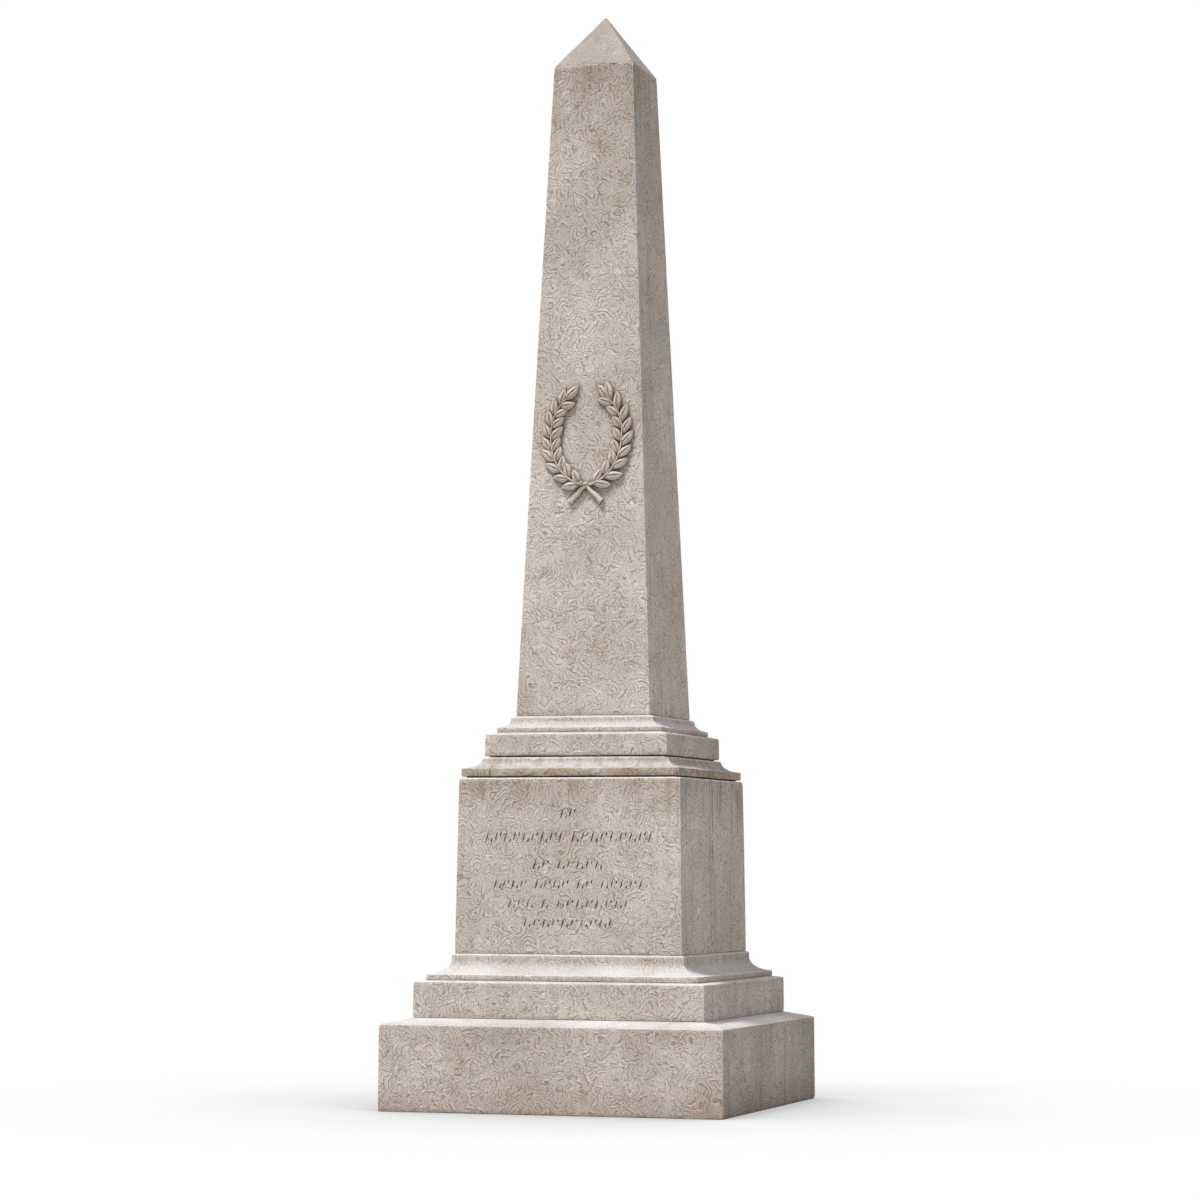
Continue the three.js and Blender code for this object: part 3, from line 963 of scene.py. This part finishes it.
def cut_stem(side, groove):
    """The thick end of a branch below the crossing, cut off square and a little swollen there."""
    start = Vector((side * 0.008, crossing_height, 0))
    end = Vector((-side * cut_stem_reach, -wreath_drop - cut_stem_drop, 0))
    points = [start.lerp(end, index / 12) for index in range(13)]
    widths = [0.016 + 0.009 * index / 12 + 0.004 * max(0, index - 10) / 2 for index in range(13)]
    for index, point in enumerate(points):
        along = end - start
        point += Vector((-along.y, along.x, 0)).normalized() * 0.0014 * math.sin(index * 1.1 + side)
    return twig("cut_stem", points, widths, cut_stem_relief, groove)


def berry(x, y, radius=0.0095):
    """A round berry that sits half sunk in the crossing."""
    mesh = bpy.data.meshes.new("berry")
    ball = bmesh.new()
    bmesh.ops.create_icosphere(ball, subdivisions=3, radius=radius)
    bmesh.ops.translate(ball, verts=ball.verts, vec=(x, y, twig_relief * 0.8))
    ball.to_mesh(mesh)
    ball.free()
    made = bpy.data.objects.new("berry", mesh)
    bpy.context.scene.collection.objects.link(made)
    return made


def line_object(name, points):
    """A curve through points, for leaves to follow."""
    curve = bpy.data.curves.new(name, "CURVE")
    curve.dimensions = "3D"
    spline = curve.splines.new("POLY")
    spline.points.add(len(points) - 1)
    for spot, point in zip(spline.points, points):
        spot.co = (*point, 1)
    made = bpy.data.objects.new(name, curve)
    bpy.context.scene.collection.objects.link(made)
    return made


def leaf_row(start, branch, leaf, count, first, last, spread, size, lift, seed):
    """Leaves at even steps along a branch, turned out from it less and less towards its end."""
    index = start.node("GeometryNodeInputIndex")
    along = first + (last - first) * index / start.maths("MAXIMUM", count - 1, 1)
    where = {"Curves": branch, "Factor": along}
    spot = start.node("GeometryNodeSampleCurve", {"mode": "FACTOR"}, where, "Position")
    points = start.node("GeometryNodePoints", None, {"Count": count, "Position": spot})
    lined_up = {"axis": "X", "pivot_axis": "Z"}
    ahead = start.node("FunctionNodeAlignRotationToVector", lined_up, {"Vector": spot.also("Tangent")})

    def chance(least, most, own_seed):
        inputs = {2: least, 3: most, "ID": index, "Seed": own_seed}
        return start.node("FunctionNodeRandomValue", {"data_type": "FLOAT"}, inputs, 1)

    sway = chance(-0.07, 0.07, seed)
    roll = chance(-0.10, 0.10, seed + 7)
    growth = chance(0.94, 1.07, seed + 3)
    at_foot, at_head = spread
    turn = start.node("ShaderNodeCombineXYZ", None, {
        0: roll, 1: lift * -1.0, 2: at_foot + (at_head - at_foot) * along + sway,
    })
    turned = start.node("FunctionNodeEulerToRotation", None, {0: turn})
    facing = start.node("FunctionNodeRotateRotation", {"rotation_space": "LOCAL"}, {0: ahead, 1: turned})
    length, width, relief = size
    scale = start.node("ShaderNodeCombineXYZ", None, {0: length * growth, 1: width * growth, 2: relief})
    inputs = {"Points": points, "Instance": leaf, "Rotation": facing, "Scale": scale}
    return start.node("GeometryNodeInstanceOnPoints", None, inputs)


wreath_tree, wreath_start, wreath_given = new_tree("laurel_wreath", [
    ("Geometry", "NodeSocketGeometry"), ("Leaf", "NodeSocketObject"),
    ("Left branch", "NodeSocketObject"), ("Right branch", "NodeSocketObject"),
    ("Left twig", "NodeSocketObject"), ("Right twig", "NodeSocketObject"),
    ("Left stem", "NodeSocketObject"), ("Right stem", "NodeSocketObject"),
    ("Left berry", "NodeSocketObject"), ("Right berry", "NodeSocketObject"),
    ("Outer leaves", "NodeSocketInt"), ("Inner leaves", "NodeSocketInt"),
    ("Outer spread at foot", "NodeSocketFloat"), ("Outer spread at head", "NodeSocketFloat"),
    ("Inner spread at foot", "NodeSocketFloat"), ("Inner spread at head", "NodeSocketFloat"),
    ("Outer length", "NodeSocketFloat"), ("Inner length", "NodeSocketFloat"),
    ("End length", "NodeSocketFloat"), ("Leaf width", "NodeSocketFloat"),
    ("Relief", "NodeSocketFloat"), ("Lift", "NodeSocketFloat"), ("Bud size", "NodeSocketFloat"),
    ("Right longer", "NodeSocketFloat"), ("Material", "NodeSocketMaterial"),
])


def thing(name, whole=True):
    """The shape of a given object, as one instance or as its own geometry."""
    inputs = {"Object": wreath_given[name], "As Instance": whole}
    return wreath_start.node("GeometryNodeObjectInfo", None, inputs, "Geometry")


leaf_thing = thing("Leaf", whole=False)
width, relief, bud, lift = (wreath_given[size] for size in ("Leaf width", "Relief", "Bud size", "Lift"))
carved = []
for side, branch_name, bud_at, outer_run, inner_run in (
    (-1, "Left branch", 0.415, (0.06, 0.91), (0.06, 0.89)),
    (1, "Right branch", 0.73, (0.07, 0.94), (0.08, 0.91)),
):
    branch = thing(branch_name, whole=False)
    longer = wreath_given["Right longer"] if side > 0 else 1.0
    outer_size = (wreath_given["Outer length"] * longer, width, relief)
    inner_size = (wreath_given["Inner length"], width, relief)
    end_size = (wreath_given["End length"], width, relief * 0.95)
    bud_size = (wreath_given["Outer length"] * bud, width * bud, relief * 0.9)
    outer_turn = (wreath_given["Outer spread at foot"] * -side, wreath_given["Outer spread at head"] * -side)
    inner_turn = (wreath_given["Inner spread at foot"] * side, wreath_given["Inner spread at head"] * side)
    inner_count = wreath_given["Inner leaves"] + (1 if side < 0 else 0)
    end_turn = -0.12 * side
    rows = (
        (wreath_given["Outer leaves"], *outer_run, outer_turn, outer_size),
        (inner_count, *inner_run, inner_turn, inner_size),
        (1, 0.97, 0.97, (end_turn, end_turn), end_size),
        (1, bud_at, bud_at, outer_turn, bud_size),
    )
    for number, (count, first, last, turn, size) in enumerate(rows):
        seed = 11 + 20 * number + side
        row = (count, first, last, turn, size, lift, seed)
        carved.append(leaf_row(wreath_start, branch, leaf_thing, *row))
for name in ("Left twig", "Right twig", "Left stem", "Right stem", "Left berry", "Right berry"):
    carved.append(thing(name))
gathered = wreath_start.node("GeometryNodeJoinGeometry", None, {0: carved})
on_face = wreath_start.node("GeometryNodeTransform", None, {
    "Geometry": gathered,
    "Translation": (0, -face_at_wreath, wreath_height),
    "Rotation": (math.pi / 2 - shaft_lean, 0, 0),
})
together = wreath_start.node("GeometryNodeJoinGeometry", None, {0: [wreath_given["Geometry"], on_face]})
join = {"operation": "UNION", "solver": "MANIFOLD"}
as_one = wreath_start.node("GeometryNodeMeshBoolean", join, {"Mesh 2": together})
close_tree(wreath_tree, as_one, wreath_given["Material"])

patterns = {
    "Leaf": laurel_leaf(),
    "Left branch": line_object("left_branch", branch_points(-1)),
    "Right branch": line_object("right_branch", branch_points(1)),
    "Left twig": branch_twig(-1),
    "Right twig": branch_twig(1),
    "Left stem": cut_stem(-1, 0.0),
    "Right stem": cut_stem(1, 0.28),
    "Left berry": berry(-0.019, crossing_height),
    "Right berry": berry(0.003, -wreath_drop + 0.004, 0.0105),
}
grown(shaft, wreath_tree, {
    **patterns,
    "Outer leaves": 9, "Inner leaves": 8,
    "Outer spread at foot": math.radians(26), "Outer spread at head": math.radians(25),
    "Inner spread at foot": math.radians(41), "Inner spread at head": math.radians(39),
    "Outer length": 0.077, "Inner length": 0.071, "End length": 0.078, "Leaf width": 0.036,
    "Relief": 0.018, "Lift": 0.05, "Bud size": 0.66, "Right longer": 1.06,
    "Material": shaft_limestone,
})
for pattern in patterns.values():
    bpy.data.objects.remove(pattern)
finish_stone(shaft, "obelisk_shaft", shaft_limestone)


# Camera
# It stands at eye height on the ground some way off, a little to the right of the front.
# It looks slightly up, with a narrow lens, so that the shaft hardly narrows by distance.

camera_azimuth = math.radians(17.684)
camera_distance = 15.086
camera_height = 0.967
camera_pitch = math.radians(4.169)
camera_roll = math.radians(0.166)
camera_yaw = math.radians(0.068)
focal_in_frames = 3666.2 / 1200

heading = camera_azimuth + camera_yaw
forward = Vector((
    -math.sin(heading) * math.cos(camera_pitch),
    math.cos(heading) * math.cos(camera_pitch),
    math.sin(camera_pitch),
))
across = Vector((math.cos(heading), math.sin(heading), 0))
upright = across.cross(forward)
right = across * math.cos(camera_roll) + upright * math.sin(camera_roll)
up = upright * math.cos(camera_roll) - across * math.sin(camera_roll)
camera_data = bpy.data.cameras.new("camera")
camera_data.sensor_width = 36
camera_data.lens = 36 * focal_in_frames
camera_data.clip_end = 200
camera = bpy.data.objects.new("camera", camera_data)
bpy.context.scene.collection.objects.link(camera)
camera_place = Vector((
    math.sin(camera_azimuth) * camera_distance,
    -math.cos(camera_azimuth) * camera_distance,
    camera_height,
))
camera_turn = Matrix((right, up, -forward)).transposed().to_4x4()
camera.matrix_world = Matrix.Translation(camera_place) @ camera_turn
bpy.context.scene.camera = camera


# Floor
# A plain, nearly white ground that runs on to the horizon.
# It glows a little less where the stones keep the sky off it, a painted soft shadow, and sends grey light
# back up.

floor_mesh = bpy.data.meshes.new("floor")
floor_reach = 60
floor_corners = [(x * floor_reach, y * floor_reach, 0) for x, y in ((-1, -1), (1, -1), (1, 1), (-1, 1))]
floor_mesh.from_pydata(floor_corners, [], [(0, 1, 2, 3)])
floor = bpy.data.objects.new("floor", floor_mesh)
bpy.context.scene.collection.objects.link(floor)
floor_finish = bpy.data.materials.new("floor_white")
floor_finish.use_nodes = True
floor_tree = floor_finish.node_tree
floor_shader = floor_tree.nodes["Principled BSDF"]
floor_shader.inputs["Base Color"].default_value = colour(0.08, 0.08, 0.08)
floor_shader.inputs["Roughness"].default_value = 1.0
floor_shader.inputs["Specular IOR Level"].default_value = 0.0
floor_shader.inputs["Emission Strength"].default_value = 0.88
floor_wire = Wire(floor_tree)
# Painted soft shadow: the floor's glow is dimmed by ambient occlusion near the stones
open_sky = floor_wire.node("ShaderNodeAmbientOcclusion", {"samples": 12}, {"Distance": 3.0}, 1)
glow = 0.2 + 0.8 * open_sky.maths("POWER", open_sky, 1.2)
glow_colour = floor_wire.node("ShaderNodeCombineColor", None, {0: glow, 1: glow, 2: glow})
floor_tree.links.new(glow_colour.socket, floor_shader.inputs["Emission Color"])
floor_bounce = floor_tree.nodes.new("ShaderNodeBsdfDiffuse")
floor_bounce.inputs["Color"].default_value = colour(0.46, 0.46, 0.46)
floor_seen = floor_tree.nodes.new("ShaderNodeLightPath")
floor_mixed = floor_tree.nodes.new("ShaderNodeMixShader")
floor_tree.links.new(floor_seen.outputs["Is Camera Ray"], floor_mixed.inputs[0])
floor_tree.links.new(floor_bounce.outputs[0], floor_mixed.inputs[1])
floor_tree.links.new(floor_shader.outputs[0], floor_mixed.inputs[2])
floor_tree.links.new(floor_mixed.outputs[0], floor_tree.nodes["Material Output"].inputs["Surface"])
floor_mesh.materials.append(floor_finish)


# Light
# Even daylight, brighter overhead, and a broad soft sun high on the viewer's left.
# A weak and very broad light from high on the right opens the hollows on that side.

world = bpy.data.worlds.new("daylight")
bpy.context.scene.world = world
world.use_nodes = True
sky_tree = world.node_tree
sky_tree.nodes["Background"].inputs["Color"].default_value = colour(0.965, 0.985, 1.02)
sky = Wire(sky_tree)
overhead = sky.node("ShaderNodeTexCoord").axis(2)
brightness = 0.16 + 0.5 * overhead.maths("MAXIMUM", overhead, 0.0)
sky_tree.links.new(brightness.socket, sky_tree.nodes["Background"].inputs["Strength"])
white = sky_tree.nodes.new("ShaderNodeBackground")
white.inputs["Color"].default_value = colour(1, 1, 1)
white.inputs["Strength"].default_value = 1.0
seen = sky_tree.nodes.new("ShaderNodeLightPath")
mixed = sky_tree.nodes.new("ShaderNodeMixShader")
sky_tree.links.new(seen.outputs["Is Camera Ray"], mixed.inputs[0])
sky_tree.links.new(sky_tree.nodes["Background"].outputs[0], mixed.inputs[1])
sky_tree.links.new(white.outputs[0], mixed.inputs[2])
sky_tree.links.new(mixed.outputs[0], sky_tree.nodes["World Output"].inputs["Surface"])


def add_sun(name, energy, spread, tint, azimuth, height):
    """A distant light from an azimuth right of the front and a height, both in degrees."""
    data = bpy.data.lights.new(name, "SUN")
    data.energy = energy
    data.angle = math.radians(spread)
    data.color = tint
    sun = bpy.data.objects.new(name, data)
    bpy.context.scene.collection.objects.link(sun)
    azimuth, height = math.radians(azimuth), math.radians(height)
    towards = Vector((
        math.sin(azimuth) * math.cos(height),
        -math.cos(azimuth) * math.cos(height),
        math.sin(height),
    ))
    sun.rotation_euler = towards.to_track_quat("Z", "Y").to_euler()


add_sun("high_left", energy=3.55, spread=12, tint=(1.0, 0.99, 0.97), azimuth=-36, height=66)
add_sun("high_right", energy=0.55, spread=50, tint=(1.0, 1.0, 1.0), azimuth=78, height=74)

bpy.context.scene.view_settings.view_transform = "Standard"
